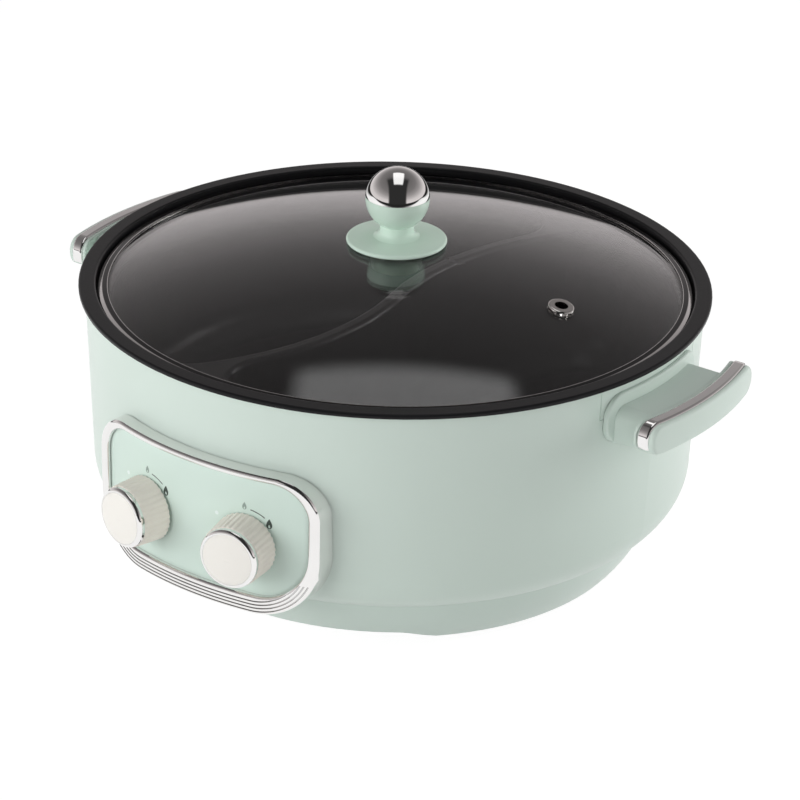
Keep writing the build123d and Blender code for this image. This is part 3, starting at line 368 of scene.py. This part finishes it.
def printOnPlate(mark, side, across, up, finish):
    # lays a flat mark on the panel's curved face and gives it the thickness of print
    turn = math.radians(side * dialMarks["dialTurn"])
    radius = dialMarks["panelRadius"]
    mark.rotation_euler = (math.radians(90.0), 0.0, turn)
    mark.location = (
        radius * math.sin(turn) + across * math.cos(turn),
        dialMarks["panelAxisY"] - radius * math.cos(turn) + across * math.sin(turn),
        dialMarks["dialHeight"] + up,
    )
    bpy.ops.object.convert(target="MESH")
    keepPlace(mark)
    lie = mark.modifiers.new("lieOnPlate", "SHRINKWRAP")
    lie.target = frame["nodes"]["panel_plate"]
    lie.wrap_mode = "ABOVE_SURFACE"
    lie.offset = 0.00001
    skin = mark.modifiers.new("printSkin", "SOLIDIFY")
    skin.thickness = dialMarks["printThickness"]
    skin.offset = 1.0
    applyModifier(mark, "lieOnPlate")
    applyModifier(mark, "printSkin")
    mark.data.materials.clear()
    mark.data.materials.append(finish)
    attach(mark, "housing")


def makeDialMarks(values):
    for side, end in ((-1, "left"), (1, "right")):
        dot = values["offDot"]
        angle = math.radians(dot["angle"])
        across, up = dot["reach"] * math.cos(angle), dot["reach"] * math.sin(angle)
        mark = flatCurve("off_dot_" + end, [roundLoop(dot["radius"])])
        printOnPlate(mark, side, across, up, markPale)
        for label, name, finish in (
            ("smallFlame", "small_flame_", markGrey),
            ("largeFlame", "large_flame_", markDark),
        ):
            flame = values[label]
            angle = math.radians(flame["angle"])
            height = flame["height"]
            loops = [dropLoop(height), dropLoop(0.36 * height, 0.07 * height)]
            mark = flatCurve(name + end, loops)
            up = flame["reach"] * math.sin(angle) - 0.45 * height
            printOnPlate(mark, side, flame["reach"] * math.cos(angle), up, finish)
        arc = values["heatArc"]
        band = arcLoop(arc["reach"], arc["width"], arc["from"], arc["to"])
        mark = flatCurve("heat_arc_" + end, [band])
        printOnPlate(mark, side, 0.0, 0.0, markDark)


makeDialMarks(dialMarks)
print("dial marks made")


# ---- studio

studioSet = {
    "floorTone": 0.86,
    "floorGlow": 1.12,
    "glowShare": 0.85,
    "shineReach": (0.55, 1.2),
    "roomGlow": 0.02,
    "viewTurn": -54.3,  # direction of the camera seen from the part, in degrees
    "boxes": {
        # degrees from the camera, distance, height, width, tallness, watts
        "leftBox": (-62.0, 1.5, 0.46, 1.35, 0.85, 14.2),
        "fillBox": (20.0, 1.7, 0.45, 0.7, 0.8, 6.0),
        "rightBox": (104.0, 1.5, 0.46, 0.9, 0.85, 10.8),
    },
    "boxTarget": (0.0, 0.0, 0.08),
    "topStrip": {
        "back": 0.24, "right": 0.045, "height": 1.70, "width": 0.89, "length": 1.72, "watts": 4.9
    },
    "topSoft": 0.12,
    "floorSize": 12.0,
    "airTint": 0.945,  # green and blue of the air against its red
    # shares along the line of sight, -1 at the camera and 1 straight behind the part
    "frontSpan": (-0.78, -0.52),
    "backSpan": (0.1, 0.6),
    # the same for what shiny pieces show, with the half width of the dark gap
    "gapSpan": (0.46, 0.58),
    "gapEnd": (0.0, 0.35),
    "clearSteps": 2.5,  # a ray that went straight through the glass has taken two steps
    "frontAir": 0.03,
    "sideAir": ((0.0, 0.42), (0.15, 0.50), (0.55, 0.42), (0.80, 0.10), (0.95, 0.04)),
    "backAir": (
        (0.0, 0.05), (0.015, 0.78), (0.17, 0.70), (0.26, 0.54),
        (0.42, 0.34), (0.6, 0.21), (0.85, 0.15),
    ),
}


def aimAt(thing, target):
    away = Vector(target) - thing.location
    thing.rotation_euler = away.to_track_quat("-Z", "Y").to_euler()


def mathStep(nodes, links, operation, first, second):
    step = nodes.new("ShaderNodeMath")
    step.operation = operation
    for value, socket in zip((first, second), step.inputs):
        if isinstance(value, float):
            socket.default_value = value
        else:
            links.new(value, socket)
    return step.outputs[0]


def floorShares(nodes, links, values):
    # how much of the floor is plain white: all of it for the camera and through glass, while
    # a shiny piece shows a dark room on it far in front of the part and far behind it
    path = nodes.new("ShaderNodeLightPath")
    clear = mathStep(
        nodes, links, "MAXIMUM", path.outputs["Is Camera Ray"], path.outputs["Is Transmission Ray"]
    )
    place = nodes.new("ShaderNodeTexCoord")
    along = nodes.new("ShaderNodeVectorMath")
    along.operation = "DOT_PRODUCT"
    view = math.radians(values["viewTurn"])
    along.inputs[1].default_value = (math.cos(view), math.sin(view), 0.0)
    links.new(place.outputs["Object"], along.inputs[0])
    reach = mathStep(nodes, links, "ABSOLUTE", along.outputs["Value"], 0.0)
    fade = nodes.new("ShaderNodeMapRange")
    fade.interpolation_type = "SMOOTHSTEP"
    near, far = values["shineReach"]
    fade.inputs["From Min"].default_value = near
    fade.inputs["From Max"].default_value = far
    links.new(reach, fade.inputs["Value"])
    dark = mathStep(nodes, links, "MULTIPLY", path.outputs["Is Glossy Ray"], fade.outputs["Result"])
    shine = mathStep(nodes, links, "SUBTRACT", path.outputs["Is Glossy Ray"], dark)
    seen = mathStep(nodes, links, "MAXIMUM", clear, shine)
    return mathStep(nodes, links, "MULTIPLY", seen, values["glowShare"]), dark


def addBox(name, place, size, watts, target, inReflections):
    bpy.ops.object.light_add(type="AREA", location=place)
    lamp = bpy.context.object
    lamp.name = name
    lamp.data.shape = "RECTANGLE"
    lamp.data.size, lamp.data.size_y = size
    lamp.data.energy = watts
    lamp.visible_glossy = inReflections
    aimAt(lamp, target)


def softenLamp(lamp, margin):
    # the light fades out towards the lamp's edges, so its reflection has soft, round corners
    lamp.data.use_nodes = True
    nodes, links = lamp.data.node_tree.nodes, lamp.data.node_tree.links
    glow = nodes["Emission"]
    face = nodes.new("ShaderNodeNewGeometry")
    split = nodes.new("ShaderNodeSeparateXYZ")
    links.new(face.outputs["Parametric"], split.inputs["Vector"])
    shares = []
    for axis in ("X", "Y"):
        middle = mathStep(nodes, links, "SUBTRACT", split.outputs[axis], 0.5)
        away = mathStep(nodes, links, "ABSOLUTE", middle, 0.0)
        fade = nodes.new("ShaderNodeMapRange")
        fade.interpolation_type = "SMOOTHSTEP"
        fade.inputs["From Min"].default_value = 0.5
        fade.inputs["From Max"].default_value = 0.5 - margin
        links.new(away, fade.inputs["Value"])
        shares.append(fade.outputs["Result"])
    links.new(mathStep(nodes, links, "MULTIPLY", *shares), glow.inputs["Strength"])


def airRamp(nodes, links, height, tones, tint):
    fade = nodes.new("ShaderNodeValToRGB")
    steps = fade.color_ramp.elements
    while len(steps) < len(tones):
        steps.new(0.5)
    for step, (position, tone) in zip(steps, tones):
        step.position = position
        step.color = (tone, tint * tone, tint * tone, 1.0)
    links.new(height, fade.inputs["Fac"])
    return fade.outputs["Color"]


def blendAir(nodes, links, turn, span, first, second):
    share = nodes.new("ShaderNodeMapRange")
    share.interpolation_type = "SMOOTHSTEP"
    share.inputs["From Min"].default_value, share.inputs["From Max"].default_value = span
    links.new(turn, share.inputs["Value"])
    blend = nodes.new("ShaderNodeMix")
    blend.data_type = "RGBA"
    links.new(share.outputs["Result"], blend.inputs["Factor"])
    links.new(first, blend.inputs["A"])
    links.new(second, blend.inputs["B"])
    return blend.outputs["Result"]


def hangLamps(values):
    view = math.radians(values["viewTurn"])
    for name, (turn, away, height, wide, tall, watts) in values["boxes"].items():
        side = view + math.radians(turn)
        place = (away * math.cos(side), away * math.sin(side), height)
        addBox(name, place, (wide, tall), watts, values["boxTarget"], False)
    strip = values["topStrip"]
    back, right = strip["back"], strip["right"]
    place = Vector((
        -back * math.cos(view) - right * math.sin(view),
        -back * math.sin(view) + right * math.cos(view),
        strip["height"],
    ))
    below = place - Vector((0.0, 0.0, 1.0))
    addBox("topStrip", place, (strip["width"], strip["length"]), strip["watts"], below, True)
    bpy.context.object.rotation_euler = (0.0, 0.0, view + math.radians(90.0))
    softenLamp(bpy.context.object, values["topSoft"])


def layFloor(values):
    bpy.ops.mesh.primitive_plane_add(size=values["floorSize"], location=(0.0, 0.0, 0.0))
    floor = bpy.context.object
    floor.name = "studioFloor"
    made, nodes, links, shader = newMaterial("floorPaper")
    noise = objectNoise(nodes, links, 2.0)
    tone = values["floorTone"]
    paper = twoTone(nodes, links, noise, (tone, tone, tone), (tone * 0.99,) * 3)
    links.new(paper.outputs["Color"], shader.inputs["Base Color"])
    shader.inputs["Roughness"].default_value = 0.9
    shader.inputs["Specular IOR Level"].default_value = 0.1
    white = nodes.new("ShaderNodeEmission")
    white.inputs["Strength"].default_value = values["floorGlow"]
    mix = nodes.new("ShaderNodeMixShader")
    whiteShare, darkShare = floorShares(nodes, links, values)
    links.new(whiteShare, mix.inputs["Fac"])
    links.new(shader.outputs["BSDF"], mix.inputs[1])
    links.new(white.outputs["Emission"], mix.inputs[2])
    room = nodes.new("ShaderNodeEmission")
    room.inputs["Strength"].default_value = values["roomGlow"]
    last = nodes.new("ShaderNodeMixShader")
    links.new(darkShare, last.inputs["Fac"])
    links.new(mix.outputs["Shader"], last.inputs[1])
    links.new(room.outputs["Emission"], last.inputs[2])
    links.new(last.outputs["Shader"], nodes["Material Output"].inputs["Surface"])
    floor.data.materials.append(made)


def fillAir(values):
    view = math.radians(values["viewTurn"])
    world = bpy.data.worlds.new("studioAir")
    bpy.context.scene.world = world
    world.use_nodes = True
    nodes, links = world.node_tree.nodes, world.node_tree.links
    ground = nodes["Background"]
    lookUp = nodes.new("ShaderNodeTexCoord")
    split = nodes.new("ShaderNodeSeparateXYZ")
    links.new(lookUp.outputs["Generated"], split.inputs["Vector"])
    behind = nodes.new("ShaderNodeVectorMath")
    behind.operation = "DOT_PRODUCT"
    behind.inputs[1].default_value = (-math.cos(view), -math.sin(view), 0.0)
    links.new(lookUp.outputs["Generated"], behind.inputs[0])
    front = nodes.new("ShaderNodeRGB")
    front.outputs[0].default_value = (*(values["frontAir"],) * 3, 1.0)
    height, tint = split.outputs["Z"], values["airTint"]
    sides = airRamp(nodes, links, height, values["sideAir"], tint)
    back = airRamp(nodes, links, height, values["backAir"], tint)
    depth = behind.outputs["Value"]
    air = blendAir(nodes, links, depth, values["frontSpan"], front.outputs[0], sides)
    air = blendAir(nodes, links, depth, values["backSpan"], air, back)
    # shiny pieces show light walls on both sides and a dark gap round the camera
    across = nodes.new("ShaderNodeVectorMath")
    across.operation = "DOT_PRODUCT"
    across.inputs[1].default_value = (-math.sin(view), math.cos(view), 0.0)
    links.new(lookUp.outputs["Generated"], across.inputs[0])
    sideways = mathStep(nodes, links, "ABSOLUTE", across.outputs["Value"], 0.0)
    shine = blendAir(nodes, links, sideways, values["gapSpan"], front.outputs[0], back)
    shine = blendAir(nodes, links, depth, values["gapEnd"], shine, back)
    path = nodes.new("ShaderNodeLightPath")
    pick = nodes.new("ShaderNodeMix")
    pick.data_type = "RGBA"
    links.new(path.outputs["Is Glossy Ray"], pick.inputs["Factor"])
    links.new(air, pick.inputs["A"])
    links.new(shine, pick.inputs["B"])
    links.new(pick.outputs["Result"], ground.inputs["Color"])
    plain = nodes.new("ShaderNodeBackground")
    plain.inputs["Color"].default_value = (1.0, 1.0, 1.0, 1.0)
    shallow = mathStep(
        nodes, links, "LESS_THAN", path.outputs["Ray Depth"], values["clearSteps"]
    )
    clear = mathStep(nodes, links, "MULTIPLY", shallow, path.outputs["Is Transmission Ray"])
    either = mathStep(nodes, links, "MAXIMUM", clear, path.outputs["Is Camera Ray"])
    mix = nodes.new("ShaderNodeMixShader")
    links.new(either, mix.inputs["Fac"])
    links.new(ground.outputs["Background"], mix.inputs[1])
    links.new(plain.outputs["Background"], mix.inputs[2])
    links.new(mix.outputs["Shader"], nodes["World Output"].inputs["Surface"])


hangLamps(studioSet)
layFloor(studioSet)
fillAir(studioSet)
bpy.context.scene.view_settings.view_transform = "Standard"
print("studio set")
